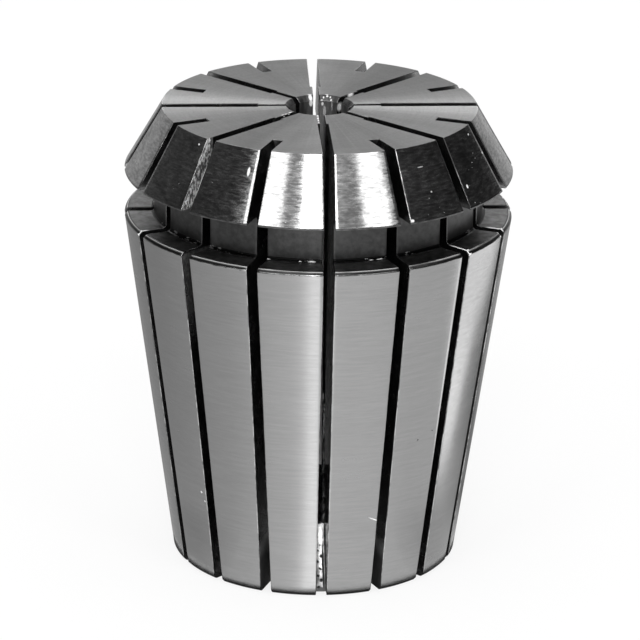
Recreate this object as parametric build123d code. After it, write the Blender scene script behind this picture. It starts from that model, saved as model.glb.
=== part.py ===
"""Spring collet, size 32, with a 5 mm gripping bore.

One piece of hardened spring steel. The axis is Z, the rear face lies on Z = 0 and the nose face points
up. The blank is turned, bored and then sawn by two sets of slots: the nose set enters through the nose
and runs out near the rear face, the rear set enters through the rear and runs out near the nose. Each
slot is sawn wide down to the wall around the bores, and a thin kerf carries it on into the bores.
All sizes are in millimetres, all angles in degrees.
"""
import os
from math import radians, sqrt, tan

from build123d import *

# Outside
LENGTH = 40.0             # rear face to nose face
BODY_D = 33.0             # largest diameter, at the shoulder and at the rim of the head
BODY_TAPER = 8.0          # half-angle of the long taper that seats in the chuck
NOSE_TAPER = 30.0         # half-angle of the nose cone that the nut presses on
HEAD_HEIGHT = 5.6         # underside of the head to the nose face
HEAD_LAND = 0.15          # straight band around the rim of the head
GROOVE_WIDTH = 3.6        # extraction groove, between the head and the shoulder
GROOVE_D = 28.0           # diameter of the groove's floor
GROOVE_FILLET = 0.3       # radius in the two inner corners of the groove
SHOULDER_CHAMFER = 0.3    # 45 degree edge between the shoulder and the long taper
REAR_CHAMFER = 0.3        # 45 degree edge around the rear face

# Bores
GRIP_D = 5.0              # gripping bore, open at the nose
GRIP_LENGTH = 18.0        # depth of the gripping bore below the nose face
GRIP_CHAMFER = 0.4        # lead-in at the nose
RELIEF_D = 9.0            # relief bore, open at the rear
RELIEF_CHAMFER = 0.4      # lead-in at the rear
DRILL_POINT = 59.0        # half-angle of the cone that joins the two bores

# Slots
SLOTS_PER_SET = 8         # nose slots, with as many rear slots halfway between them
SLOT_WIDTH = 0.9          # wide part of a slot
SLOT_WALL = 0.7           # steel left between the relief bore and the floor of the wide slot
SLOT_SAW_D = 50.0         # saw that cuts the wide part
REAR_NOTCH = 0.75         # how deep a nose slot still cuts into the rim of the rear face
NOSE_NOTCH = 2.95         # how deep a rear slot still cuts into the rim of the nose face
KERF_WIDTH = 0.5          # thin kerf in the floor of the slot, open to the bores
KERF_SAW_D = 30.0         # saw that cuts the thin kerf
KERF_REACH = 1.5          # how far the thin saw passes through the wall of the gripping bore
WEB_HEIGHT = 6.5          # unbroken slot floor between the end of a kerf and the end face

# Derived places
body_r = BODY_D / 2
grip_r = GRIP_D / 2
relief_r = RELIEF_D / 2
groove_r = GROOVE_D / 2
head_z = LENGTH - HEAD_HEIGHT
shoulder_z = head_z - GROOVE_WIDTH
taper_top_z = shoulder_z - SHOULDER_CHAMFER
rear_taper_r = body_r - (taper_top_z - REAR_CHAMFER) * tan(radians(BODY_TAPER))
rear_face_r = rear_taper_r - REAR_CHAMFER
nose_face_r = body_r - (HEAD_HEIGHT - HEAD_LAND) * tan(radians(NOSE_TAPER))
grip_end_z = LENGTH - GRIP_LENGTH
relief_end_z = grip_end_z - (relief_r - grip_r) / tan(radians(DRILL_POINT))
slot_floor_r = relief_r + SLOT_WALL
kerf_floor_r = grip_r - KERF_REACH


def runout(saw_d: float, rise: float) -> float:
    """Length along the axis in which a stopped saw's edge rises by `rise` from the slot floor."""
    return sqrt(rise * (saw_d - rise))


def floor_after(saw_d: float, floor_r: float, past_stop: float) -> float:
    """Radius of the slot floor at a distance `past_stop` beyond the centre of the stopped saw."""
    saw_r = saw_d / 2
    return floor_r + saw_r - sqrt(saw_r**2 - past_stop**2)


def half_section() -> Sketch:
    """Half of the turned blank's section, drawn in the XZ plane with the bores left out."""
    with BuildSketch(Plane.XZ) as section:
        with BuildLine():
            Polyline(
                (relief_r + RELIEF_CHAMFER, 0),
                (rear_face_r, 0),
                (rear_taper_r, REAR_CHAMFER),
                (body_r, taper_top_z),
                (body_r - SHOULDER_CHAMFER, shoulder_z),
                (groove_r, shoulder_z),
                (groove_r, head_z),
                (body_r, head_z),
                (body_r, head_z + HEAD_LAND),
                (nose_face_r, LENGTH),
                (grip_r + GRIP_CHAMFER, LENGTH),
                (grip_r, LENGTH - GRIP_CHAMFER),
                (grip_r, grip_end_z),
                (relief_r, relief_end_z),
                (relief_r, RELIEF_CHAMFER),
                close=True,
            )
        make_face()
        corners = section.vertices().filter_by_position(Axis.X, groove_r - 0.01, groove_r + 0.01)
        fillet(corners, GROOVE_FILLET)
    return section.sketch


def saw_path(width: float, saw_d: float, floor_r: float, z_stop: float, z_enter: float) -> Part:
    """Space swept by a round saw on the +X side, from outside the end face at z_enter to z_stop.

    The saw's axis lies across the collet, so a cut ends in an arc of the saw's own radius. The saw
    starts half its own diameter outside the collet, so the cut has its full depth at the end face.
    """
    overrun = saw_d / 2 if z_enter > z_stop else -saw_d / 2
    z_start = z_enter + overrun
    with BuildPart() as path:
        with BuildSketch(Plane.XZ):
            with Locations((floor_r + saw_d / 2, (z_start + z_stop) / 2)):
                SlotCenterToCenter(abs(z_start - z_stop), saw_d, rotation=90)
        extrude(amount=width / 2, both=True)
    return path.part


def slot_set(end_z: float, web_z: float, exit_r: float, first_angle: float) -> list[Part]:
    """One ring of slots that enter at `end_z` and run out at the opposite end, `web_z`.

    `exit_r` is the radius at which the wide slot's floor leaves the web's end face.
    """
    inward = 1 if end_z > web_z else -1
    wide_runout = runout(SLOT_SAW_D, exit_r - slot_floor_r)
    wide_stop_z = web_z + inward * wide_runout
    web_r = floor_after(SLOT_SAW_D, slot_floor_r, wide_runout - WEB_HEIGHT)
    kerf_runout = runout(KERF_SAW_D, web_r - kerf_floor_r)
    kerf_stop_z = web_z + inward * (WEB_HEIGHT + kerf_runout)
    wide = saw_path(SLOT_WIDTH, SLOT_SAW_D, slot_floor_r, wide_stop_z, end_z)
    kerf = saw_path(KERF_WIDTH, KERF_SAW_D, kerf_floor_r, kerf_stop_z, end_z)
    return [place * cut for place in PolarLocations(0, SLOTS_PER_SET, first_angle) for cut in (wide, kerf)]


def build_collet() -> Part:
    """The finished collet: the turned blank less the nose set and the rear set of slots."""
    blank = revolve(half_section(), Axis.Z)
    pitch = 360 / SLOTS_PER_SET
    front = -90
    nose_set = slot_set(LENGTH, 0, rear_face_r - REAR_NOTCH, front)
    rear_set = slot_set(0, LENGTH, nose_face_r - NOSE_NOTCH, front + pitch / 2)
    return blank - nose_set - rear_set


os.makedirs("parts", exist_ok=True)
export_step(build_collet(), "parts/collet.step")
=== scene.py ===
"""Blender model of a spring collet with slots sawn from both ends, its finishes and its studio."""

import logging
import math
from dataclasses import dataclass
from enum import Enum, IntEnum
from typing import Any, Iterable, Mapping, Sequence, Union

import bmesh
import bpy
from mathutils import Matrix, Vector


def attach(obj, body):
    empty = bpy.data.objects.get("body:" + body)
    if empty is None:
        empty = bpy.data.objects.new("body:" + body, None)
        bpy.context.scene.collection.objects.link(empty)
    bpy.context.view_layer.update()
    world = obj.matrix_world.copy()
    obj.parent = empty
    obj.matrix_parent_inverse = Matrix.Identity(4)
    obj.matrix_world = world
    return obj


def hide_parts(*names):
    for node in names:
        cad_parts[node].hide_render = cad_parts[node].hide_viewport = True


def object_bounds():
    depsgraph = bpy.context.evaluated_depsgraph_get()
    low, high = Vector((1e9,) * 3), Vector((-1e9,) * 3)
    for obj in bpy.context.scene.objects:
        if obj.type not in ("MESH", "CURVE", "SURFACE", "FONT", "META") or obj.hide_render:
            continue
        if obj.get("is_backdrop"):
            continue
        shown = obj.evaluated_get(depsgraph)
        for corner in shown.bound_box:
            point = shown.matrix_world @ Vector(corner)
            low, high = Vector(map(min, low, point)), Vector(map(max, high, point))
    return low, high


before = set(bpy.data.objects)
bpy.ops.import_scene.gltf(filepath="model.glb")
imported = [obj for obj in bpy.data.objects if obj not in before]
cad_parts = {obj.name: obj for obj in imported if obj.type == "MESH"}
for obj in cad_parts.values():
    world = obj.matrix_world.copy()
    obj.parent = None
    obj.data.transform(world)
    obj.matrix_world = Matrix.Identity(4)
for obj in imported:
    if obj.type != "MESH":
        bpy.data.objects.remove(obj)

LOG = logging.getLogger("spring_collet")
MM = 0.001
MICROMETRE = 1e-6
TURN = 360.0
PICTURE = 640
WHITE = (1.0, 1.0, 1.0, 1.0)

RIM_RADIUS = 13.0
PAINTED_SPOT_ROUGHNESS = 0.6

SHARP_ANGLE = math.radians(20)
FLAT_ANGLE = math.radians(0.05)
SAW_FACETS = 360
SAW_CLEARANCE = 10.0
WELD = 1e-7
HAIR = 0.01
SLACK = 0.02
MARGIN = 0.1
SKIN = 0.2
TAPER_SKIN = 0.35
FACING = 0.9

CARD_STEPS = 48
ROOM_RADIUS = 0.9
BAND_TOP = 0.68
ROOM_TOP = 1.0
# Inner radius of the cards that paint light and shade on the floor for the steel's gloss.
PAINTED_FLOOR_RADIUS = 0.0128

Pair = tuple[float, float]
Triple = tuple[float, float, float]


class Region(IntEnum):
    """Surfaces of the collet that have a finish of their own, in slot order."""

    TAPER = 0
    CONE = 1
    FACE = 2
    GROOVE = 3
    SHOULDER = 4
    WALL = 5
    FLOOR = 6
    BORE = 7
    REAR = 8
    EDGE = 9
    ROOT = 10
    MOUTH = 11


class End(Enum):
    """The end of the collet that a saw comes in by."""

    NOSE = 1
    REAR = -1


class Wire:
    """A node's output socket that Python's operators work on."""

    def __init__(self, bench: "Bench", socket: bpy.types.NodeSocket) -> None:
        """Keeps the socket and the bench it belongs to.

        Args:
            bench: The bench whose tree holds the socket.
            socket: An output socket.
        """
        self.bench = bench
        self.socket = socket

    def math(self, operation: str, *values: "Feed") -> "Wire":
        """Adds a Math node fed by this socket first.

        Args:
            operation: The Math node's operation.
            values: What goes into the other inputs.

        Returns:
            The node's output.
        """
        return self.bench.node(
            "ShaderNodeMath", {"operation": operation}, dict(enumerate((self, *values)))
        )

    def _swapped(self, operation: str, value: float) -> "Wire":
        """Adds a Math node with a number first and this socket second."""
        return self.bench.node(
            "ShaderNodeMath", {"operation": operation}, {0: value, 1: self}
        )

    def __add__(self, other: "Feed") -> "Wire":
        """This plus other."""
        return self.math("ADD", other)

    def __radd__(self, other: float) -> "Wire":
        """Other plus this."""
        return self.math("ADD", other)

    def __sub__(self, other: "Feed") -> "Wire":
        """This minus other."""
        return self.math("SUBTRACT", other)

    def __rsub__(self, other: float) -> "Wire":
        """Other minus this."""
        return self._swapped("SUBTRACT", other)

    def __mul__(self, other: "Feed") -> "Wire":
        """This times other."""
        return self.math("MULTIPLY", other)

    def __rmul__(self, other: float) -> "Wire":
        """Other times this."""
        return self.math("MULTIPLY", other)

    def __truediv__(self, other: "Feed") -> "Wire":
        """This over other."""
        return self.math("DIVIDE", other)

    def __rtruediv__(self, other: float) -> "Wire":
        """Other over this."""
        return self._swapped("DIVIDE", other)

    def __neg__(self) -> "Wire":
        """This with its sign turned."""
        return self.math("MULTIPLY", -1.0)

    def step(self, low: float, high: float) -> "Wire":
        """Rises smoothly from 0 at low to 1 at high.

        Args:
            low: The value that gives 0.
            high: The value that gives 1, which may be the lower one.

        Returns:
            The smoothed share.
        """
        return self.bench.node(
            "ShaderNodeMapRange",
            {"interpolation_type": "SMOOTHSTEP"},
            {"Value": self, "From Min": low, "From Max": high},
        )


Feed = Union[Wire, float, int, Sequence[float]]


class Bench:
    """One node tree and the method that puts nodes on it."""

    def __init__(self, tree: bpy.types.NodeTree) -> None:
        """Clears the tree.

        Args:
            tree: The node tree to work on.
        """
        self.tree = tree
        tree.nodes.clear()

    @classmethod
    def material(cls, name: str) -> tuple["Bench", bpy.types.Material]:
        """Makes a material with an empty tree.

        Args:
            name: The material's name.

        Returns:
            The bench and its material.
        """
        material = bpy.data.materials.new(name)
        material.use_nodes = True
        return cls(material.node_tree), material

    def node(
        self,
        kind: str,
        settings: Mapping[str, Any],
        inputs: Mapping[Union[int, str], Feed],
        output: Union[int, str] = 0,
    ) -> Wire:
        """Adds a node of any type.

        Args:
            kind: The node's type.
            settings: Its properties; "stops" fills a ramp with (place, grey) pairs.
            inputs: Values or wires by input name or number.
            output: The output that is wanted.

        Returns:
            That output.
        """
        made = self.tree.nodes.new(kind)
        for key, value in settings.items():
            if key == "stops":
                ramp = made.color_ramp.elements
                while len(ramp) < len(value):
                    ramp.new(0.5)
                for stop, (place, grey) in zip(ramp, value):
                    stop.position = place
                    stop.color = (grey, grey, grey, 1.0)
            else:
                setattr(made, key, value)
        for key, value in inputs.items():
            if isinstance(value, Wire):
                self.tree.links.new(value.socket, made.inputs[key])
            else:
                made.inputs[key].default_value = value
        return Wire(self, made.outputs[output])

    def finish(self, shader: Wire, kind: str = "ShaderNodeOutputMaterial") -> None:
        """Links a shader to the tree's output node, of the kind that is given."""
        end = self.tree.nodes.new(kind)
        self.tree.links.new(shader.socket, end.inputs["Surface"])

    def mix(self, share: Feed, under: Union[Wire, float], over: Union[Wire, float]) -> Wire:
        """Mixes two colours.

        Args:
            share: How far to go from the first to the second.
            under: The first colour, or its grey.
            over: The second colour, or its grey.

        Returns:
            The colour.
        """
        first, second = (
            tone if isinstance(tone, Wire) else (tone, tone, tone, 1.0)
            for tone in (under, over)
        )
        return self.node(
            "ShaderNodeMix", {"data_type": "RGBA"}, {0: share, 6: first, 7: second}, 2
        )


@dataclass(frozen=True)
class PaintedSpot:
    """A spot of painted colour, placed in degrees round the axis and millimetres.

    Azimuth 0 is the front slot, wide runs round the axis, tall up it and lean turns it.
    It marks what lies within deep of its radius. Each table of spots says which paint glints and
    which paint shade.
    """

    azimuth: float
    radius: float
    height: float
    wide: float
    tall: float
    tone: float = 0.85
    lean: float = 0.0
    deep: float = 1.0


def painted_spot_table(
    columns: str, rows: Iterable[Sequence[float]], **shared: float
) -> tuple[PaintedSpot, ...]:
    """Reads painted spots from rows under named columns, with what all of them share."""
    names = columns.split()
    return tuple(PaintedSpot(**dict(zip(names, row)), **shared) for row in rows)


@dataclass(frozen=True)
class Line:
    """A ring of colour painted round the axis between two radii in millimetres; a light one is a
    painted highlight and a dark one painted shade.
    """

    inner: float
    outer: float
    tone: float


class Steel(Bench):
    """A bench for a steel finish, with the collet's coordinates in millimetres."""

    def __init__(self, tree: bpy.types.NodeTree) -> None:
        """Adds the coordinates.

        Args:
            tree: The material's node tree.
        """
        super().__init__(tree)
        place = self.node("ShaderNodeTexCoord", {}, {}, "Object")
        self.place = self.vector("SCALE", {0: place, "Scale": 1.0 / MM})
        self.x, self.y, self.z = (
            self.node("ShaderNodeSeparateXYZ", {}, {0: self.place}, axis)
            for axis in range(3)
        )
        self.radius = (self.x * self.x + self.y * self.y).math("SQRT")

    def vector(
        self, operation: str, inputs: Mapping[Union[int, str], Feed], output: str = "Vector"
    ) -> Wire:
        """Adds a Vector Math node and gives the output that is wanted."""
        return self.node("ShaderNodeVectorMath", {"operation": operation}, inputs, output)

    def noise(
        self, spot: Wire, detail: float, roughness: float = 0.6, scale: float = 1.0
    ) -> Wire:
        """Adds noise.

        Args:
            spot: Where it is read.
            detail: Its detail.
            roughness: The weight of its finer parts.
            scale: How many patches there are to a unit of spot.

        Returns:
            The noise, about 0.5 in the middle.
        """
        return self.node(
            "ShaderNodeTexNoise",
            {},
            {"Vector": spot, "Scale": scale, "Detail": detail, "Roughness": roughness},
        )

    def streaks(self, across: float, along: float, detail: float = 2.0) -> Wire:
        """Noise drawn out round the axis, as a turning or grinding pass leaves it.

        Args:
            across: How many marks there are to a millimetre of height.
            along: How many there are to a millimetre round the axis.
            detail: The noise's detail.

        Returns:
            The noise, about 0.5 in the middle.
        """
        spot = self.node(
            "ShaderNodeMapping",
            {},
            {"Vector": self.place, "Scale": (along, along, across)},
        )
        return self.noise(spot, detail)

    def rings(self, across: float, along: float, detail: float = 2.0) -> Wire:
        """Noise drawn out round the axis on a flat face.

        Args:
            across: How many marks there are to a millimetre of radius.
            along: How many there are to a millimetre round the axis at the rim.
            detail: The noise's detail.

        Returns:
            The noise.
        """
        flat = self.node("ShaderNodeCombineXYZ", {}, {0: self.x, 1: self.y})
        turn = self.vector("NORMALIZE", {0: flat})
        arc = self.vector("SCALE", {0: turn, "Scale": RIM_RADIUS * along})
        depth = self.node("ShaderNodeCombineXYZ", {}, {2: self.radius * across})
        return self.noise(self.vector("ADD", {0: arc, 1: depth}), detail)

    def cloud(self, size: float, detail: float = 3.0) -> Wire:
        """Noise that is alike in every direction, its patches size millimetres across."""
        return self.noise(self.place, detail, 0.5, 1.0 / size)

    def bump(self, height: Wire, micrometres: float) -> Wire:
        """Turns a height from 0 to 1 into a normal, 1 being as many micrometres."""
        return self.node(
            "ShaderNodeBump",
            {},
            {"Height": height, "Distance": micrometres * MICROMETRE, "Strength": 1.0},
        )

    def painted_spot(self, painted_spot: PaintedSpot) -> Wire:
        """Marks out one painted spot.

        Args:
            painted_spot: Where it is and how large.

        Returns:
            1 inside it and 0 outside.
        """
        turn = math.radians(painted_spot.azimuth)
        centre = (
            painted_spot.radius * math.sin(turn), -painted_spot.radius * math.cos(turn), painted_spot.height
        )
        spot = self.node(
            "ShaderNodeMapping",
            {"vector_type": "TEXTURE"},
            {
                "Vector": self.place,
                "Location": centre,
                "Rotation": (0.0, math.radians(painted_spot.lean), turn),
                "Scale": (painted_spot.wide / 2, painted_spot.deep, painted_spot.tall / 2),
            },
        )
        return self.vector("LENGTH", {0: spot}, "Value").step(1.3, 0.7)

    def grit(self, share: float) -> Wire:
        """Scatters grit in patches, thicker as share goes from 0 to 1."""
        grains = self.cloud(0.16, 0.0).step(0.86 - 0.1 * share, 0.88 - 0.1 * share)
        return grains * self.cloud(5.0, 1.0).step(0.5, 0.65)

    def surface(
        self,
        colour: Wire,
        roughness: Feed,
        normal: Wire,
        grain: float = 0.0,
        painted_spots: Sequence[PaintedSpot] = (),
        matt: Feed = 0.0,
    ) -> None:
        """Ends the tree with the steel's shader.

        Args:
            colour: The reflected colour.
            roughness: The roughness.
            normal: The bumped normal.
            grain: How much the marks round the axis draw the gloss out across them.
            painted_spots: The spots of colour painted on the surface, among them painted glints
                and painted shade.
            matt: Share of the surface that doesn't shine as metal.
        """
        metal: Feed = 1.0 - matt
        # Each spot's colour replaces the steel's and stops it shining as metal; the spot tables
        # say which spots paint glints and which paint shade.
        for painted_spot in painted_spots:
            mask = self.painted_spot(painted_spot)
            colour = self.mix(mask, colour, painted_spot.tone)
            metal = (1.0 - mask) * metal
            roughness = mask * PAINTED_SPOT_ROUGHNESS + roughness
        shader = self.node(
            "ShaderNodeBsdfPrincipled",
            {},
            {
                "Base Color": colour,
                "Metallic": metal,
                "Roughness": roughness,
                "Normal": normal,
                "Anisotropic": grain,
                "Anisotropic Rotation": 0.25 if grain else 0.0,
            },
        )
        self.finish(shader)


@dataclass(frozen=True, kw_only=True)
class Finish:
    """A finish of the steel.

    The tone is its grey and spread how far that varies, rough its roughness, depth its
    marks' depth in micrometres, and grain how much they draw the gloss out across them.
    """

    name: str
    tone: float
    spread: float
    rough: float
    depth: float
    grain: float = 0.0
    painted_spots: tuple[PaintedSpot, ...] = ()

    def grey(self, share: Wire, change: Pair = (0.3, 0.7)) -> Wire:
        """Varies the tone.

        Args:
            share: The noise that it follows.
            change: The noise where it is darkest and where it is lightest.

        Returns:
            The colour.
        """
        dark, light = self.tone - self.spread, self.tone + self.spread
        return share.bench.mix(share.step(*change), dark, light)

    def dress(self, bench: Steel) -> None:
        """Puts the finish's nodes on its bench."""
        raise NotImplementedError

    def material(self) -> bpy.types.Material:
        """Builds the material."""
        bench, material = Steel.material(self.name)
        self.dress(bench)
        return material


@dataclass(frozen=True, kw_only=True)
class GroundFinish(Finish):
    """A surface ground round the axis.

    It has as many marks across and along to a millimetre. The dashes are rougher marks,
    as many across and along, which add flecks to its roughness.
    """

    across: float = 7.0
    along: float = 0.35
    flecks: float = 0.0
    dashes: Pair = (9.0, 2.2)
    dust: float = 0.0
    painted_lines: tuple[Line, ...] = ()

    def dress(self, bench: Steel) -> None:
        """Puts the marks, dashes, painted rings of highlight and shade, and dust on the bench."""
        fine = bench.streaks(self.across, self.along)
        broad = bench.streaks(self.across * 0.12, self.along * 0.5, 3.0)
        patch = bench.cloud(4.0)
        colour = self.grey(fine * 0.5 + broad * 0.3 + patch * 0.2)
        rough = self.rough + (broad - 0.5) * 0.08 + (patch - 0.5) * 0.06
        if self.flecks:
            dash = bench.streaks(*self.dashes, 1.5).step(0.25, 0.75)
            rough = rough + dash * self.flecks
        normal = bench.bump(fine * 0.8 + broad * 0.2, self.depth)
        # Rings of flat colour between two radii, broken up in patches: painted highlight and
        # painted shade lines.
        for line in self.painted_lines:
            inside = bench.radius.step(line.inner - SLACK, line.inner + SLACK)
            within = bench.radius.step(line.outer + SLACK, line.outer - SLACK)
            broken_up = patch.step(0.3, 0.5) * 0.7 + 0.3
            colour = bench.mix(inside * within * broken_up, colour, line.tone)
        matt: Feed = 0.0
        if self.dust:
            matt = bench.grit(self.dust)
            colour = bench.mix(matt, colour, 0.8)
        bench.surface(colour, rough, normal, self.grain, self.painted_spots, matt)


class FacedFinish(Finish):
    """A flat face turned in rings round the axis."""

    def dress(self, bench: Steel) -> None:
        """Puts the rings, and the faint rays across them, on the bench."""
        fine = bench.rings(6.0, 0.35)
        patch = bench.cloud(2.5)
        rays = bench.rings(0.03, 1.3, 3.0)
        speck = bench.cloud(0.2, 1.0)
        colour = self.grey(fine * 0.3 + patch * 0.2 + rays * 0.2 + speck * 0.3)
        rough = self.rough + (patch - 0.5) * 0.1
        normal = bench.bump(fine + rays * 28.0, self.depth)
        bench.surface(colour, rough, normal, self.grain, self.painted_spots)


@dataclass(frozen=True, kw_only=True)
class SkinFinish(Finish):
    """Steel left as hardening and sawing leave it, dull and uneven.

    Its patches are size millimetres across and upright times as tall, and change is the
    noise at which they are dark and light.
    """

    size: float = 0.5
    upright: float = 1.0
    change: Pair = (0.3, 0.7)
    torn: bool = False

    def dress(self, bench: Steel) -> None:
        """Puts the patches, and the torn wall where there is one, on the bench."""
        fine = bench.streaks(1.0 / (self.size * self.upright), 1.0 / self.size, 3.0)
        patch = bench.cloud(self.size * 6.0)
        colour = self.grey(fine * 0.6 + patch * 0.4, self.change)
        rough = self.rough + (patch - 0.5) * 0.15
        height = fine
        matt: Feed = 0.0
        if self.torn:
            crumb = bench.streaks(2.6, 5.5, 2.0)
            where = self.torn_wall(bench)
            crumbs = bench.mix(crumb.step(0.44, 0.6), 0.05, 1.0)
            colour = bench.mix(where, colour, crumbs)
            rough = rough + where * 0.35
            height = fine + crumb * where * 4.0
            matt = where * 0.9
        normal = bench.bump(height, self.depth)
        bench.surface(colour, rough, normal, self.grain, self.painted_spots, matt)

    def torn_wall(self, bench: Steel) -> Wire:
        """Marks out the wall that the saw has torn: 1 in the nose, less below it."""
        turn = math.radians(-45.0)
        across = bench.x * math.cos(turn) + bench.y * math.sin(turn)
        out = bench.x * math.sin(turn) - bench.y * math.cos(turn)
        side = across.step(-0.2, -0.3) * across.step(-1.0, -0.8)
        shin = bench.z.step(21.0, 29.0) * bench.z.step(30.8, 30.4)
        return side * out.step(12.6, 13.0) * (bench.z.step(34.3, 34.5) * 0.8 + shin * 0.15)


# Light and dark spots on the body's taper.
TAPER_SPOTS = painted_spot_table(
    "azimuth radius height wide tall tone lean",
    (
        (19.4, 13.22, 7.17, 1.15, 0.09, 0.85, 27.0),
        (-49.2, 13.38, 8.28, 0.18, 0.2, 0.85, 0.0),
        (-20.8, 13.83, 11.5, 0.1, 0.35, 0.8, 0.0),
        (-21.2, 13.56, 9.6, 0.12, 0.5, 0.7, 0.0),
        (-46.4, 13.74, 10.9, 0.12, 0.15, 0.6, 0.0),
        (-47.8, 13.26, 7.5, 0.15, 0.18, 0.6, 0.0),
        (34.2, 14.2, 14.1, 0.16, 0.12, 0.03, 0.0),
        (40.4, 14.26, 14.6, 0.14, 0.12, 0.03, 0.0),
        (46.8, 15.39, 22.6, 0.16, 0.16, 0.85, 0.0),
    ),
)
# Light and grey spots on the nose cone.
CONE_SPOTS = painted_spot_table(
    "azimuth radius height wide tall tone",
    (
        (-27.0, 14.3, 38.3, 0.22, 0.62, 0.85),
        (-49.8, 13.69, 39.4, 0.15, 0.12, 0.7),
        (66.2, 14.21, 38.5, 0.2, 0.2, 0.5),
        (65.0, 14.68, 37.7, 0.2, 0.18, 0.5),
        (61.8, 13.72, 39.4, 0.2, 0.14, 0.5),
        (48.8, 15.61, 36.1, 0.2, 0.28, 0.8),
        (33.8, 15.35, 36.5, 0.14, 0.12, 0.4),
        (32.4, 14.22, 38.4, 0.5, 0.08, 0.3),
        (24.8, 16.42, 34.7, 0.3, 0.2, 0.8),
    ),
)
# Light spots on the nose face; the two by the bore at -166.3 and 165 paint the glints of chips at
# the bore's mouth.
FACE_SPOTS = painted_spot_table(
    "azimuth radius wide tone deep",
    (
        (-166.3, 2.95, 0.35, 0.85, 0.12),
        (165.0, 2.98, 0.3, 0.8, 0.07),
        (-50.0, 3.4, 0.2, 0.8, 0.18),
        (-49.2, 3.9, 0.16, 0.85, 0.15),
        (-48.9, 4.3, 0.2, 0.8, 0.15),
        (-6.0, 3.1, 0.2, 0.8, 0.25),
        (-5.2, 3.8, 0.18, 0.85, 0.25),
        (-4.5, 4.4, 0.14, 0.8, 0.2),
        (-3.9, 5.1, 0.16, 0.7, 0.25),
        (-3.3, 6.0, 0.12, 0.6, 0.3),
    ),
    height=40.0,
    tall=0.3,
)
# White spots round the back of the bore's mouth: chips there, painted white for their glints.
MOUTH_CHIP_GLINTS = painted_spot_table(
    "azimuth radius height wide tall tone deep",
    (
        (-166.3, 2.7, 39.8, 0.32, 0.7, 0.9, 0.3),
        (172.6, 2.55, 39.6, 0.16, 0.14, 0.85, 0.2),
        (169.8, 2.75, 39.8, 0.14, 0.16, 0.85, 0.2),
        (163.5, 2.85, 39.9, 0.2, 0.14, 0.85, 0.2),
        (157.6, 2.8, 39.85, 0.14, 0.16, 0.8, 0.2),
        (154.6, 2.6, 39.65, 0.16, 0.2, 0.8, 0.2),
        (162.2, 2.5, 39.5, 0.2, 0.16, 0.85, 0.2),
    ),
)
# White spots at the top of the bore: chips there, painted white for their glints.
BORE_CHIP_GLINTS = painted_spot_table(
    "azimuth height wide tall tone",
    (
        (-166.3, 39.4, 0.3, 0.6, 0.8),
        (171.2, 39.3, 0.18, 0.3, 0.8),
        (152.0, 39.2, 0.1, 0.7, 0.35),
        (167.0, 38.7, 0.25, 0.8, 0.4),
    ),
    radius=2.5,
    deep=0.3,
)
# The two black patches at ±22.5 paint shade in the feet of those slots; the white spots near the
# nose face by the bore paint glints.
WALL_SHADE_AND_GLINTS = painted_spot_table(
    "azimuth radius height wide tall tone deep",
    (
        (-22.5, 11.5, 0.5, 3.0, 7.5, 0.02, 4.0),
        (22.5, 11.5, 0.5, 3.0, 7.5, 0.02, 4.0),
        (135.0, 2.85, 39.1, 0.8, 0.9, 0.95, 0.4),
        (135.0, 4.25, 39.85, 1.0, 0.4, 0.95, 0.4),
        (-45.0, 3.6, 39.9, 0.8, 0.12, 0.8, 0.08),
        (-45.0, 4.2, 39.85, 0.8, 0.12, 0.8, 0.08),
    ),
)
# White spots on the groove's root fillet: painted glints.
ROOT_GLINTS = painted_spot_table(
    "azimuth wide tall tone deep",
    (
        (-20.6, 0.8, 0.3, 0.95, 0.12),
        (-9.2, 0.22, 0.4, 0.9, 0.15),
        (-5.3, 0.7, 0.4, 0.95, 0.18),
        (14.9, 0.5, 0.3, 0.9, 0.12),
        (17.9, 0.7, 0.3, 0.9, 0.12),
        (21.6, 0.2, 0.3, 0.8, 0.12),
    ),
    radius=14.2,
    height=30.85,
)
# Dark patches paint shade: over the slot edges at 67.5 and 45 to dull their shine, and over the
# shoulder's edge at both sides. White spots paint glints on the edges.
EDGE_SHADE_AND_GLINTS = painted_spot_table(
    "azimuth radius height wide tall tone deep",
    (
        (67.5, 14.8, 37.4, 2.6, 8.5, 0.04, 4.0),
        (45.0, 13.8, 39.2, 2.4, 5.0, 0.04, 2.4),
        (-82.0, 15.3, 30.9, 12.0, 1.2, 0.1, 3.0),
        (82.0, 15.3, 30.9, 12.0, 1.2, 0.1, 3.0),
        (-43.2, 15.1, 36.9, 0.3, 2.4, 0.85, 1.5),
        (-69.3, 16.1, 30.6, 0.45, 0.5, 0.85, 0.6),
        (46.7, 15.5, 30.8, 0.5, 0.5, 0.95, 1.1),
        (46.8, 16.3, 30.6, 0.5, 0.5, 0.95, 0.4),
        (69.1, 15.8, 30.8, 0.5, 0.5, 0.95, 0.9),
        (65.7, 15.8, 30.8, 0.3, 0.4, 0.85, 0.6),
        (65.4, 16.4, 30.4, 0.3, 0.6, 0.85, 0.3),
        (90.0, 14.2, 30.8, 0.5, 0.5, 0.8, 0.5),
        (98.5, 16.2, 30.8, 0.3, 0.3, 0.8, 0.3),
    ),
)
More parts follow.
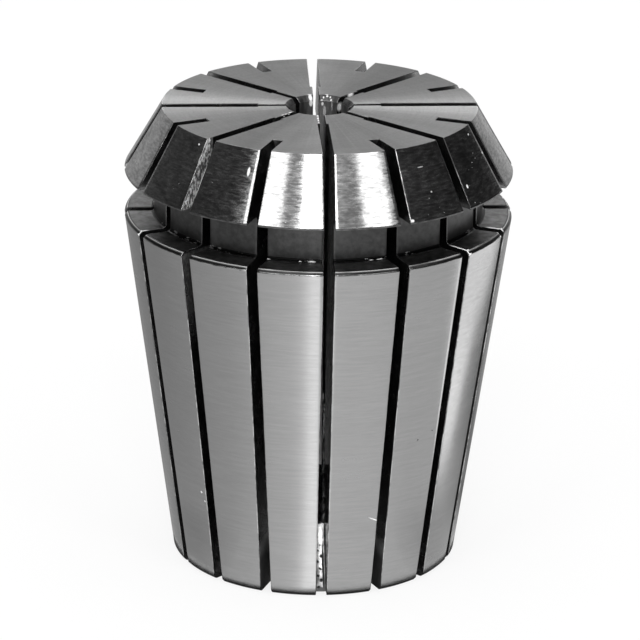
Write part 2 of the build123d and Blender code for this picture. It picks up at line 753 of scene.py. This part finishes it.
# Dark spots at the foot of the front slot: painted shade deep inside the slot, and a wider one
# darkening its mouth.
SLOT_FLOOR_SHADE = painted_spot_table(
    "azimuth height wide tall tone lean",
    (
        (-1.9, 2.2, 0.16, 4.2, 0.03, 0.0),
        (1.5, 2.0, 0.2, 4.6, 0.04, 0.0),
        (-1.2, 3.9, 0.2, 0.3, 0.03, 20.0),
        (0.1, 3.3, 0.3, 0.16, 0.03, -15.0),
        (-0.9, 2.9, 0.3, 0.14, 0.03, 30.0),
        (0.6, 2.5, 0.24, 0.3, 0.03, 0.0),
        (-1.1, 2.1, 0.2, 0.26, 0.03, -30.0),
        (0.0, 1.6, 0.34, 0.16, 0.03, 25.0),
        (-1.0, 1.1, 0.26, 0.2, 0.03, 10.0),
        (0.4, 0.8, 0.26, 0.24, 0.03, -20.0),
        (-0.8, 0.3, 0.3, 0.2, 0.03, 0.0),
        (0.3, 0.1, 0.8, 0.4, 0.2, 0.0),
    ),
    radius=11.5,
    deep=3.0,
)

FINISHES: dict[Region, Finish] = {
    Region.TAPER: GroundFinish(
        name="ground_taper",
        tone=0.36, spread=0.02, rough=0.2, depth=0.3, grain=0.8,
        flecks=0.06, dashes=(4.5, 1.2), painted_spots=TAPER_SPOTS,
    ),
    Region.CONE: GroundFinish(
        name="ground_nose_cone",
        tone=0.43, spread=0.2, rough=0.11, depth=1.5, grain=0.6,
        across=6.0, along=1.6, flecks=0.14, dashes=(7.5, 1.3), dust=0.2, painted_spots=CONE_SPOTS,
    ),
    Region.FACE: FacedFinish(
        name="turned_nose_face",
        tone=0.37, spread=0.06, rough=0.37, depth=1.0, grain=0.95, painted_spots=FACE_SPOTS,
    ),
    Region.GROOVE: SkinFinish(
        name="hardened_groove", tone=0.075, spread=0.02, rough=0.4, depth=3.0
    ),
    Region.SHOULDER: GroundFinish(
        name="turned_shoulder",
        tone=0.15, spread=0.09, rough=0.4, depth=2.0, grain=0.5,
        # The light ring is a painted highlight on the shoulder's outer corner, the dark one
        # painted shade on its chamfer.
        across=4.0, along=1.6, painted_lines=(Line(16.19, 16.29, 0.95), Line(16.34, 16.48, 0.03)),
    ),
    Region.WALL: SkinFinish(
        name="sawn_slot_wall",
        tone=0.3, spread=0.08, rough=0.25, depth=3.0,
        size=0.3, torn=True, painted_spots=WALL_SHADE_AND_GLINTS,
    ),
    Region.FLOOR: SkinFinish(
        name="sawn_slot_floor",
        tone=0.4, spread=0.25, rough=0.3, depth=6.0,
        size=0.28, upright=4.0, painted_spots=SLOT_FLOOR_SHADE,
    ),
    Region.BORE: GroundFinish(
        name="honed_bore",
        tone=0.42, spread=0.25, rough=0.45, depth=3.0,
        across=0.4, along=3.0, painted_spots=BORE_CHIP_GLINTS,
    ),
    Region.REAR: FacedFinish(
        name="turned_rear_face", tone=0.3, spread=0.03, rough=0.4, depth=1.0, grain=0.6
    ),
    Region.EDGE: SkinFinish(
        name="rubbed_edge",
        tone=0.36, spread=0.2, rough=0.25, depth=1.0,
        size=1.0, change=(0.4, 0.62), painted_spots=EDGE_SHADE_AND_GLINTS,
    ),
    Region.ROOT: SkinFinish(
        name="groove_root",
        tone=0.3, spread=0.28, rough=0.3, depth=1.0,
        size=0.9, upright=0.4, change=(0.55, 0.59), painted_spots=ROOT_GLINTS,
    ),
    Region.MOUTH: GroundFinish(
        name="bore_mouth",
        tone=0.13, spread=0.09, rough=0.5, depth=3.0,
        across=0.4, along=3.0, painted_spots=MOUTH_CHIP_GLINTS,
    ),
}


def new_object(
    name: str, shape: bmesh.types.BMesh, materials: Iterable[bpy.types.Material] = ()
) -> bpy.types.Object:
    """Turns a bmesh into an object at the origin.

    Args:
        name: The object's name.
        shape: The bmesh, which is freed.
        materials: What goes in its material slots.

    Returns:
        The object, in the scene.
    """
    mesh = bpy.data.meshes.new(name)
    shape.to_mesh(mesh)
    shape.free()
    for material in materials:
        mesh.materials.append(material)
    made = bpy.data.objects.new(name, mesh)
    bpy.context.scene.collection.objects.link(made)
    return made


def everything(shape: bmesh.types.BMesh) -> list[Any]:
    """All of a bmesh's vertices, edges and faces."""
    return shape.verts[:] + shape.edges[:] + shape.faces[:]


def spin(
    shape: bmesh.types.BMesh, geometry: list[Any], angle: float, steps: int, **how: bool
) -> None:
    """Turns geometry round the axis, by an angle in radians."""
    bmesh.ops.spin(
        shape, geom=geometry, cent=(0, 0, 0), axis=(0, 0, 1), angle=angle, steps=steps, **how
    )


def shift(shape: bmesh.types.BMesh, made: Mapping[str, Any], move: Triple) -> None:
    """Moves the vertices that an extrusion has made, in metres."""
    verts = [v for v in made["geom"] if isinstance(v, bmesh.types.BMVert)]
    bmesh.ops.translate(shape, verts=verts, vec=move)


def apply_modifiers(body: bpy.types.Object) -> None:
    """Turns an object's modifiers into its mesh and removes its old one."""
    bpy.context.view_layer.update()
    graph = bpy.context.evaluated_depsgraph_get()
    final = bpy.data.meshes.new_from_object(body.evaluated_get(graph))
    body.modifiers.clear()
    old, body.data = body.data, final
    bpy.data.meshes.remove(old)


@dataclass(frozen=True)
class Saw:
    """A slotting saw and the path it is fed along, in millimetres.

    The disc's centre runs at reach from the axis, from outside one end of the collet
    to the height stop.
    """

    radius: float
    width: float
    reach: float
    stop: float
    end: End
    first: float
    number: int
    pitch: float
    travel: float
    aside: float = 0.0

    def cut(self, shape: bmesh.types.BMesh) -> None:
        """Adds the steel that the whole set of slots takes away.

        Args:
            shape: The bmesh that gets the slabs.
        """
        slab = bmesh.new()
        way = self.end.value
        centre = ((self.aside - self.width / 2) * MM, -self.reach * MM, self.stop * MM)
        bmesh.ops.create_circle(
            slab,
            cap_ends=True,
            radius=self.radius * MM,
            segments=SAW_FACETS,
            matrix=Matrix.Translation(centre) @ Matrix.Rotation(math.radians(90), 4, "Y"),
        )
        halved = bmesh.ops.bisect_plane(
            slab,
            geom=everything(slab),
            dist=WELD,
            plane_co=(0, 0, self.stop * MM),
            plane_no=(0, 0, way),
            clear_outer=True,
        )
        chord = [e for e in halved["geom_cut"] if isinstance(e, bmesh.types.BMEdge)]
        grown = bmesh.ops.extrude_edge_only(slab, edges=chord)
        shift(slab, grown, (0, 0, way * self.travel * MM))
        thick = bmesh.ops.extrude_face_region(slab, geom=slab.faces[:])
        shift(slab, thick, (self.width * MM, 0, 0))
        bmesh.ops.remove_doubles(slab, verts=slab.verts[:], dist=WELD / 10)
        bmesh.ops.rotate(
            slab,
            cent=(0, 0, 0),
            matrix=Matrix.Rotation(math.radians(self.first), 3, "Z"),
            verts=slab.verts[:],
        )
        if self.number > 1:
            angle = math.radians(self.pitch * (self.number - 1))
            spin(slab, everything(slab), angle, self.number - 1, use_duplicate=True)
        bmesh.ops.recalc_face_normals(slab, faces=slab.faces[:])
        spare = bpy.data.meshes.new("spare")
        slab.to_mesh(spare)
        slab.free()
        shape.from_mesh(spare)
        bpy.data.meshes.remove(spare)


@dataclass
class ColletBody:
    """The collet's one piece of steel, in millimetres, standing on its small end."""

    length: float = 40.0
    body_d: float = 33.0
    body_taper: float = 8.0
    nose_taper: float = 30.0
    head_height: float = 5.6
    head_land: float = 0.15
    groove_width: float = 3.6
    groove_d: float = 28.0
    groove_fillet: float = 0.3
    shoulder_chamfer: float = 0.3
    rear_chamfer: float = 0.3
    grip_d: float = 5.0
    grip_length: float = 18.0
    grip_chamfer: float = 0.4
    relief_d: float = 9.0
    relief_chamfer: float = 0.4
    drill_point: float = 59.0
    slots: int = 8
    slot_width: float = 0.9
    slot_wall: float = 0.7
    slot_saw_d: float = 50.0
    rear_notch: float = 0.75
    nose_notch: float = 2.95
    kerf_width: float = 0.5
    kerf_saw_d: float = 30.0
    kerf_reach: float = 1.5
    web_height: float = 6.5
    stray_turn: float = -1.2
    stray_aside: float = 0.21
    kerf_end_r: float = 8.0
    edge: float = 0.06
    facets: int = 256

    @property
    def head_z(self) -> float:
        """Height of the head's underside."""
        return self.length - self.head_height

    @property
    def shoulder_z(self) -> float:
        """Height of the body's top shoulder."""
        return self.head_z - self.groove_width

    @property
    def taper_top(self) -> float:
        """Height where the body's taper is widest."""
        return self.shoulder_z - self.shoulder_chamfer

    @property
    def rear_r(self) -> float:
        """Radius of the taper at its lower end."""
        fall = self.taper_top - self.rear_chamfer
        return self.body_d / 2 - fall * math.tan(math.radians(self.body_taper))

    @property
    def face_r(self) -> float:
        """Radius of the nose face."""
        rise = self.head_height - self.head_land
        return self.body_d / 2 - rise * math.tan(math.radians(self.nose_taper))

    @property
    def slot_floor(self) -> float:
        """Radius of the slots' straight floor."""
        return self.relief_d / 2 + self.slot_wall

    @property
    def kerf_floor(self) -> float:
        """Radius that the narrow kerfs reach."""
        return self.grip_d / 2 - self.kerf_reach

    def outline(self) -> list[Pair]:
        """Corners of the half-section, as radius and height."""
        half, groove = self.body_d / 2, self.groove_d / 2
        grip, relief = self.grip_d / 2, self.relief_d / 2
        grip_end = self.length - self.grip_length
        step = (relief - grip) / math.tan(math.radians(self.drill_point))
        return [
            (relief + self.relief_chamfer, 0.0),
            (self.rear_r - self.rear_chamfer, 0.0),
            (self.rear_r, self.rear_chamfer),
            (half, self.taper_top),
            (half - self.shoulder_chamfer, self.shoulder_z),
            (groove, self.shoulder_z),
            (groove, self.head_z),
            (half, self.head_z),
            (half, self.head_z + self.head_land),
            (self.face_r, self.length),
            (grip + self.grip_chamfer, self.length),
            (grip, self.length - self.grip_chamfer),
            (grip, grip_end),
            (relief, grip_end - step),
            (relief, self.relief_chamfer),
        ]

    def saws(self) -> list[list[Saw]]:
        """The saws in groups whose cuts don't meet each other."""

        def stop(saw_r: float, floor: float, meets: float, at: float, way: int) -> float:
            """Height where a saw stops so that its run-out is at radius meets at height at."""
            rise = floor + saw_r - meets
            return at + way * math.sqrt(saw_r**2 - rise**2)

        wide_r, thin_r = self.slot_saw_d / 2, self.kerf_saw_d / 2
        rear_face = self.rear_r - self.rear_chamfer
        nose_stop = stop(wide_r, self.slot_floor, rear_face - self.rear_notch, 0.0, 1)
        rear_stop = stop(
            wide_r, self.slot_floor, self.face_r - self.nose_notch, self.length, -1
        )

        def floor_at(centre: float, height: float) -> float:
            """Radius of a slot's run-out floor at a height."""
            return self.slot_floor + wide_r - math.sqrt(wide_r**2 - (centre - height) ** 2)

        low, high = self.web_height, self.length - self.web_height
        nose_kerf = stop(thin_r, self.kerf_floor, floor_at(nose_stop, low), low, 1)
        rear_kerf = stop(thin_r, self.kerf_floor, floor_at(rear_stop, high), high, -1)
        pitch = TURN / self.slots
        reach = self.length + SAW_CLEARANCE

        def nose(radius: float, width: float, floor: float, at: float) -> list[Saw]:
            """A saw from the nose, with the slot opposite the first a little astray."""
            shape = (radius, width, floor + radius, at, End.NOSE)
            start, travel = pitch - TURN / 2, reach - at
            stray = TURN / 2 + self.stray_turn
            return [
                Saw(*shape, start, self.slots - 1, pitch, travel),
                Saw(*shape, stray, 1, pitch, travel, self.stray_aside),
            ]

        def rear(radius: float, width: float, floor: float, at: float) -> list[Saw]:
            """A saw from the rear, halfway between the nose's slots."""
            shape = (radius, width, floor + radius, at, End.REAR)
            return [Saw(*shape, pitch / 2, self.slots, pitch, at + SAW_CLEARANCE)]

        return [
            nose(wide_r, self.slot_width, self.slot_floor, nose_stop)
            + rear(wide_r, self.slot_width, self.slot_floor, rear_stop),
            nose(thin_r, self.kerf_width, self.kerf_floor, nose_kerf),
            rear(thin_r, self.kerf_width, self.kerf_floor, rear_kerf),
        ]

    def blank(self) -> bmesh.types.BMesh:
        """Turns the blank from its half-section."""
        shape = bmesh.new()
        points = [shape.verts.new((0, -r * MM, z * MM)) for r, z in self.outline()]
        for a, b in zip(points, points[1:] + points[:1]):
            shape.edges.new((a, b))
        roots = [
            v
            for v in points
            if abs(-v.co.y / MM - self.groove_d / 2) < HAIR
            and self.shoulder_z - HAIR < v.co.z / MM < self.head_z + HAIR
        ]
        bmesh.ops.bevel(
            shape,
            geom=roots,
            offset=self.groove_fillet * MM,
            offset_type="OFFSET",
            segments=4,
            profile=0.5,
            affect="VERTICES",
            material=-1,
        )
        spin(shape, everything(shape), math.tau, self.facets, use_merge=True)
        bmesh.ops.remove_doubles(shape, verts=shape.verts[:], dist=WELD)
        bmesh.ops.recalc_face_normals(shape, faces=shape.faces[:])
        return shape

    def region(self, face: bmesh.types.BMFace) -> Region:
        """Tells which surface of the collet a face belongs to.

        Args:
            face: A face of the finished shape.

        Returns:
            The surface.
        """
        spot = face.calc_center_median() / MM
        radius = math.hypot(spot.x, spot.y)
        outward = Vector((spot.x, spot.y, 0)).normalized()
        normal = face.normal
        out = normal.dot(outward)
        aside = abs(normal.cross(outward).z)
        if aside > 0.5:
            return Region.WALL
        if normal.z > FACING and spot.z > self.length - SKIN:
            return Region.FACE
        if normal.z < -FACING and spot.z < SKIN:
            return Region.REAR
        if out < 0.05 and radius < self.relief_d / 2 + self.relief_chamfer:
            return Region.MOUTH if normal.z > 0.3 else Region.BORE
        if self.taper_top - SLACK < spot.z < self.head_z + SLACK:
            surface = self.groove_d / 2
            root = surface + 2 * SKIN
            if radius < surface - SKIN:
                return Region.FLOOR
            if spot.z < self.shoulder_z + SLACK and (out > 0.1 or radius > root):
                return Region.SHOULDER
            if spot.z < self.shoulder_z + self.groove_fillet and radius < root:
                return Region.ROOT
            return Region.GROOVE
        if self.head_z <= spot.z < self.head_z + self.head_land:
            return Region.SHOULDER
        if spot.z >= self.head_z:
            rise = max(0.0, spot.z - self.head_z - self.head_land)
            surface = self.body_d / 2 - rise * math.tan(math.radians(self.nose_taper))
            return Region.CONE if radius > surface - SKIN else Region.FLOOR
        rise = spot.z - self.rear_chamfer
        surface = self.rear_r + max(0.0, rise) * math.tan(math.radians(self.body_taper))
        return Region.TAPER if radius > surface - TAPER_SKIN else Region.FLOOR

    def saw_slots(self, body: bpy.types.Object) -> None:
        """Takes both sets of slots and kerfs out of the turned blank."""
        for number, group in enumerate(self.saws()):
            slabs = bmesh.new()
            for one in group:
                one.cut(slabs)
            cutter = new_object(f"saw_cut_{number}", slabs)
            taking = body.modifiers.new("saw", "BOOLEAN")
            taking.operation = "DIFFERENCE"
            taking.solver = "EXACT"
            taking.object = cutter
            apply_modifiers(body)
            bpy.data.meshes.remove(cutter.data)

    def deep_inside(self, edge: bmesh.types.BMEdge) -> bool:
        """Tells an edge of the bores and kerfs, where the facets are too narrow to round it."""
        middle = (edge.verts[0].co + edge.verts[1].co) / (2 * MM)
        below_mouth = middle.z < self.length - self.grip_chamfer - MARGIN
        return below_mouth and math.hypot(middle.x, middle.y) < self.kerf_end_r

    def break_edges(self, body: bpy.types.Object) -> None:
        """Rounds the sharp edges a little and gives every face its surface's slot."""
        shape = bmesh.new()
        shape.from_mesh(body.data)
        bmesh.ops.remove_doubles(shape, verts=shape.verts[:], dist=2 * WELD)
        bmesh.ops.dissolve_degenerate(shape, edges=shape.edges[:], dist=2 * WELD)
        bmesh.ops.dissolve_limit(
            shape,
            angle_limit=FLAT_ANGLE,
            verts=shape.verts[:],
            edges=shape.edges[:],
        )
        for face in shape.faces:
            face.smooth = True
        sharp = [
            e
            for e in shape.edges
            if len(e.link_faces) == 2
            and e.calc_face_angle(0.0) > SHARP_ANGLE
            and not self.deep_inside(e)
        ]
        made = bmesh.ops.bevel(
            shape,
            geom=sharp,
            offset=self.edge * MM,
            offset_type="OFFSET",
            segments=2,
            profile=0.5,
            affect="EDGES",
            clamp_overlap=False,
            material=-1,
        )
        rounded = set(made["faces"])
        for face in shape.faces:
            face.smooth = True
            face.material_index = self.region(face).value
            spot = face.calc_center_median() / MM
            inner = math.hypot(spot.x, spot.y) < self.groove_d / 2 - SKIN
            hidden = self.shoulder_z + MARGIN / 2 < spot.z < self.head_z + self.head_land
            if face in rounded and not (inner or hidden) and spot.z < self.length - MARGIN:
                face.material_index = Region.EDGE.value
        shape.to_mesh(body.data)
        shape.free()

    def build(self) -> bpy.types.Object:
        """Makes the collet as one object at the origin.

        Returns:
            The dressed object, which stands for the solid and rides on its body.
        """
        materials = [FINISHES[region].material() for region in Region]
        body = new_object("collet_body", self.blank())
        self.saw_slots(body)
        for material in materials:
            body.data.materials.append(material)
        self.break_edges(body)
        weigh = body.modifiers.new("weigh", "WEIGHTED_NORMAL")
        weigh.mode = "FACE_AREA"
        weigh.weight = 50
        apply_modifiers(body)
        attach(body, "root")
        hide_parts("collet")
        return body


def direction(azimuth: float, elevation: float) -> Vector:
    """Points away from the collet, azimuth 0 being the camera's side and 90 its right.

    Args:
        azimuth: Degrees round the axis from the camera.
        elevation: Degrees above the floor.

    Returns:
        The unit vector.
    """
    a, e = math.radians(azimuth + Camera.azimuth), math.radians(elevation)
    return Vector((math.sin(a) * math.cos(e), -math.cos(a) * math.cos(e), math.sin(e)))


@dataclass(frozen=True)
class Camera:
    """The long lens and where it stands, in millimetres and degrees."""

    azimuth: float = -3.4
    elevation: float = 20.324
    distance: float = 383.565
    target: Triple = (0.0, 0.0, 20.0)
    focal_pixels: float = 4452.85
    roll: float = 0.8006
    target_pixel: Pair = (316.545, 326.422)

    def build(self) -> bpy.types.Object:
        """Makes the scene's camera."""
        data = bpy.data.cameras.new("long_lens")
        data.sensor_width = 36.0
        data.lens = self.focal_pixels / PICTURE * data.sensor_width
        data.shift_x = (PICTURE / 2 - self.target_pixel[0]) / PICTURE
        data.shift_y = (self.target_pixel[1] - PICTURE / 2) / PICTURE
        data.clip_start, data.clip_end = 0.01, 20.0
        camera = bpy.data.objects.new("long_lens", data)
        back = direction(0.0, self.elevation)
        camera.location = Vector(self.target) * MM + back * self.distance * MM
        turn = (-back).to_track_quat("-Z", "Y").to_matrix()
        spin = Matrix.Rotation(math.radians(self.roll), 3, "Z")
        camera.rotation_euler = (turn @ spin).to_euler()
        bpy.context.scene.collection.objects.link(camera)
        bpy.context.scene.camera = camera
        return camera


@dataclass(frozen=True)
class Lamp:
    """A rectangular soft light that faces the collet."""

    name: str
    azimuth: float
    elevation: float
    distance: float
    width: float
    height: float
    level: float

    def build(self) -> bpy.types.Object:
        """Makes the lamp."""
        data = bpy.data.lights.new(self.name, "AREA")
        data.shape = "RECTANGLE"
        data.size, data.size_y = self.width, self.height
        data.energy = self.level * math.pi * self.width * self.height
        lamp = bpy.data.objects.new(self.name, data)
        way = direction(self.azimuth, self.elevation)
        lamp.location = Vector((0, 0, 0.02)) + way * self.distance
        lamp.rotation_euler = (-way).to_track_quat("-Z", "Y").to_euler()
        lamp.visible_camera = False
        bpy.context.scene.collection.objects.link(lamp)
        return lamp


def polygon(points: Iterable[Vector]) -> bmesh.types.BMesh:
    """Makes a bmesh with one face, from its corners in order."""
    shape = bmesh.new()
    shape.faces.new([shape.verts.new(point) for point in points])
    return shape


@dataclass(frozen=True)
class Reflected:
    """A glowing piece of the studio, a painted reflection that only the collet's gloss sees."""

    name: str

    def shape(self) -> bmesh.types.BMesh:
        """Makes the piece's faces."""
        raise NotImplementedError

    def light(self, bench: Bench) -> tuple[Feed, float]:
        """Gives the glow's colour and strength."""
        raise NotImplementedError

    def build(self) -> bpy.types.Object:
        """Makes the piece."""
        bench, material = Bench.material(self.name)
        colour, strength = self.light(bench)
        glow = bench.node("ShaderNodeEmission", {}, {"Color": colour, "Strength": strength})
        bench.finish(glow)
        piece = new_object(self.name, self.shape(), [material])
        piece.visible_camera = False
        piece.visible_diffuse = False
        piece.visible_shadow = False
        piece.visible_transmission = False
        piece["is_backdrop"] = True
        return piece


@dataclass(frozen=True)
class Card(Reflected):
    """A card curved round the collet.

    It runs from the ring of the first radius and height to that of the second, from
    azimuth start to azimuth end, and its tones go by azimuth in degrees.
    """

    first: Pair
    second: Pair
    tones: tuple[Pair, ...]
    start: float = -TURN / 2
    end: float = TURN / 2

    def shape(self) -> bmesh.types.BMesh:
        """Turns the card round the axis."""
        shape = bmesh.new()
        way = direction(self.start, 0.0)
        ends = [
            shape.verts.new(way * radius + Vector((0, 0, height)))
            for radius, height in (self.first, self.second)
        ]
        edge = shape.edges.new(ends)
        spin(shape, ends + [edge], math.radians(self.end - self.start), CARD_STEPS)
        return shape

    def light(self, bench: Bench) -> tuple[Feed, float]:
        """Grades the glow round the axis."""
        place = bench.node("ShaderNodeTexCoord", {}, {}, "Object")
        x, y = (bench.node("ShaderNodeSeparateXYZ", {}, {0: place}, i) for i in (0, 1))
        turn = x.math("ARCTAN2", -y) * (180.0 / math.pi) - Camera.azimuth
        share = (turn + 1.5 * TURN).math("MODULO", TURN) / TURN
        top = max(tone for _, tone in self.tones)
        stops = [((azimuth + TURN / 2) / TURN, tone / top) for azimuth, tone in self.tones]
        return bench.node("ShaderNodeValToRGB", {"stops": stops}, {0: share}), top


@dataclass(frozen=True)
class Sheet(Reflected):
    """A glowing sheet on the floor, a painted pool of light that only the collet's gloss sees.

    Its corners are in metres to the camera's right and towards the camera.
    """

    corners: tuple[Pair, ...]
    tone: float
    height: float = 0.001

    def shape(self) -> bmesh.types.BMesh:
        """Makes the sheet's face."""
        right, near = direction(90.0, 0.0), direction(0.0, 0.0)
        up = Vector((0, 0, self.height))
        return polygon(right * x + near * y + up for x, y in self.corners)

    def light(self, bench: Bench) -> tuple[Feed, float]:
        """Gives an even white glow."""
        return WHITE, self.tone


@dataclass(frozen=True)
class Strip(Reflected):
    """A narrow bright strip far behind the collet.

    Its ends are azimuth and elevation from the nose face, and its width is in degrees.
    """

    low: Pair
    high: Pair
    width: float
    tone: float
    distance: float = 0.84
    height: float = 0.04

    def shape(self) -> bmesh.types.BMesh:
        """Makes the strip's face."""
        half = self.width / 2
        up = Vector((0, 0, self.height))
        ends = ((self.low, -half), (self.low, half), (self.high, half), (self.high, -half))
        return polygon(
            direction(azimuth, elevation + aside) * self.distance + up
            for (azimuth, elevation), aside in ends
        )

    def light(self, bench: Bench) -> tuple[Feed, float]:
        """Gives an even white glow."""
        return WHITE, self.tone


# Glow round the axis of the cards that paint the room's reflection in the steel: dark sides,
# lighter front and back, bright bands on the backcloth.
ROOM_TONES = (
    (-180, 0.15), (-140, 0.12), (-125, 0.06), (-60, 0.045), (-20, 0.12), (20, 0.12),
    (60, 0.04), (90, 0.025), (130, 0.025), (145, 0.12), (180, 0.15),
)
UPPER_TONES = (
    (-180, 0.75), (-118, 0.75), (-85, 0.05), (-40, 0.05), (-20, 0.48), (24, 0.48),
    (42, 0.06), (85, 0.05), (118, 0.75), (180, 0.75),
)
# The floor as the steel's gloss sees it: painted light and shade graded round the axis, a bright
# streak in front and painted shadow behind on the right.
FLOOR_LIGHT_AND_SHADE_TONES = (
    (-180, 0.5), (-166, 0.42), (-152, 0.33), (-136, 0.36), (-122, 0.4), (-105, 0.45),
    (-87, 0.54), (-65, 0.63), (-50, 0.7), (-28, 0.9), (-20, 0.98), (-14, 1.03), (-9, 1.15),
    (-6, 1.4), (-3.5, 1.85), (-1, 2.0), (1.5, 2.0), (5, 1.05), (36, 1.0), (57, 0.9),
    (73, 0.88), (84, 0.8), (100, 0.58), (110, 0.45), (120, 0.32), (132, 0.2), (142, 0.38),
    (155, 0.48), (180, 0.5),
)
BACKCLOTH_TONES = (
    (-180, 0.8), (-172, 0.9), (-166, 1.7), (-160, 1.7), (-152, 0.4), (152, 0.4), (160, 1.7),
    (166, 1.7), (172, 0.9), (180, 0.8),
)


@dataclass(frozen=True)
class Studio:
    """The floor, the sky and the lights."""

    floor_size: float = 6.0
    floor_tone: float = 0.97
    shadow_share: float = 0.2
    sky: float = 0.88
    lamps: tuple[Lamp, ...] = (
        Lamp("front_panel", -1.0, 37.0, 0.8, 0.2, 0.25, 10.0),
        Lamp("left_panel", -36.0, 37.0, 0.8, 0.25, 0.3, 3.2),
        Lamp("right_panel", 39.3, 36.0, 0.8, 0.2, 0.3, 3.2),
    )
    cards: tuple[Reflected, ...] = (
        Card("surround", (ROOM_RADIUS, 0.0), (ROOM_RADIUS, BAND_TOP), ROOM_TONES),
        Card("upper_surround", (ROOM_RADIUS, BAND_TOP), (ROOM_RADIUS, ROOM_TOP), UPPER_TONES),
        Card("hood", (ROOM_RADIUS, ROOM_TOP), (0.01, 1.1), ((-180, 0.7), (180, 0.7))),
        # Painted floor light and shade, seen only in the steel's gloss.
        Card("painted_floor_light_and_shade", (PAINTED_FLOOR_RADIUS, 0.0004), (ROOM_RADIUS, 0.0004), FLOOR_LIGHT_AND_SHADE_TONES),
        Card(
            "left_shade",
            (PAINTED_FLOOR_RADIUS, 0.0006),
            (0.019, 0.0006),
            ((-110, 0.43), (-84, 0.43), (-64, 0.5), (-50, 0.62), (-40, 0.74)),
            -110.0,
            -40.0,
        ),
        Card(
            "right_shade",
            (PAINTED_FLOOR_RADIUS, 0.0006),
            (0.021, 0.0006),
            ((45, 0.9), (60, 0.72), (84, 0.63), (96, 0.5), (104, 0.4), (118, 0.17)),
            45.0,
            125.0,
        ),
        # A dark ring under the collet: painted contact shadow in the steel's gloss.
        Card("painted_contact_shadow", (0.0105, 5e-5), (0.0129, 5e-5), ((-180, 0.04), (180, 0.04))),
        Card("backcloth", (0.85, -0.001), (0.85, 0.3), BACKCLOTH_TONES, 134.0, 234.0),
        Sheet(
            "side_glow",
            (
                (0.0245, 0.004), (0.03, -0.0022), (0.0405, -0.0105), (0.047, -0.0175),
                (0.047, 0.004),
            ),
            2.0,
        ),
        Sheet(
            "far_glow",
            (
                (0.047, -0.0175), (0.0495, -0.024), (0.0555, -0.042), (0.062, -0.08),
                (0.11, -0.08), (0.11, 0.004), (0.047, 0.004),
            ),
            1.65,
        ),
        Strip("back_strip_a", (161.0, 6.8), (173.0, 19.1), 1.4, 8.5),
        Strip("back_strip_b", (170.4, 6.9), (174.0, 14.4), 1.4, 7.0),
        Strip("back_strip_c", (187.5, 13.4), (190.5, 12.4), 3.0, 12.0),
        Strip("right_tower", (166.0, 31.5), (170.0, 31.5), 18.0, 4.0),
        Strip("left_tower", (190.0, 27.0), (194.0, 27.0), 15.0, 3.2),
    )

    def seen_white(self, bench: Bench) -> Wire:
        """Is 1 for a ray that is shown plain white: a camera, glossy or transmission one."""
        camera, glossy, through = (
            bench.node("ShaderNodeLightPath", {}, {}, name)
            for name in ("Is Camera Ray", "Is Glossy Ray", "Is Transmission Ray")
        )
        return camera.math("MAXIMUM", glossy).math("MAXIMUM", through)

    def build_sky(self) -> None:
        """Makes the world."""
        world = bpy.data.worlds.new("studio")
        bpy.context.scene.world = world
        world.use_nodes = True
        bench = Bench(world.node_tree)
        seen = self.seen_white(bench)
        level = seen * (1.0 - self.sky) + self.sky
        glow = bench.node(
            "ShaderNodeBackground", {}, {"Color": WHITE, "Strength": level}
        )
        bench.finish(glow, "ShaderNodeOutputWorld")

    def build_floor(self) -> bpy.types.Object:
        """Makes the floor, which shows white and keeps a share of the shadow."""
        shape = bmesh.new()
        bmesh.ops.create_grid(shape, x_segments=2, y_segments=2, size=self.floor_size / 2)
        bench, material = Bench.material("pale_floor")
        tone = (self.floor_tone,) * 3 + (1.0,)
        matt = bench.node("ShaderNodeBsdfDiffuse", {}, {"Color": tone})
        glow = bench.node("ShaderNodeEmission", {}, {"Color": WHITE})
        share = self.seen_white(bench) * (1.0 - self.shadow_share)
        both = bench.node("ShaderNodeMixShader", {}, {0: share, 1: matt, 2: glow})
        bench.finish(both)
        floor = new_object("floor", shape, [material])
        floor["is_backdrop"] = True
        return floor

    def build(self) -> None:
        """Makes the whole studio."""
        self.build_sky()
        self.build_floor()
        for lamp in self.lamps:
            lamp.build()
        for card in self.cards:
            card.build()


def corners() -> list[list[float]]:
    """The shown object's lowest and highest corner as plain lists."""
    return [list(corner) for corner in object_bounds()]


def main() -> None:
    """Builds the collet and its studio and logs the collet's face count."""
    logging.basicConfig(level=logging.INFO, format="%(name)s: %(message)s")
    bpy.context.scene.view_settings.view_transform = "Standard"
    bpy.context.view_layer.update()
    Camera().build()
    body = ColletBody().build()
    LOG.info("%s has %d faces", body.name, len(body.data.polygons))
    Studio().build()
    LOG.info("the studio is lit")


if __name__ == "__main__":
    main()
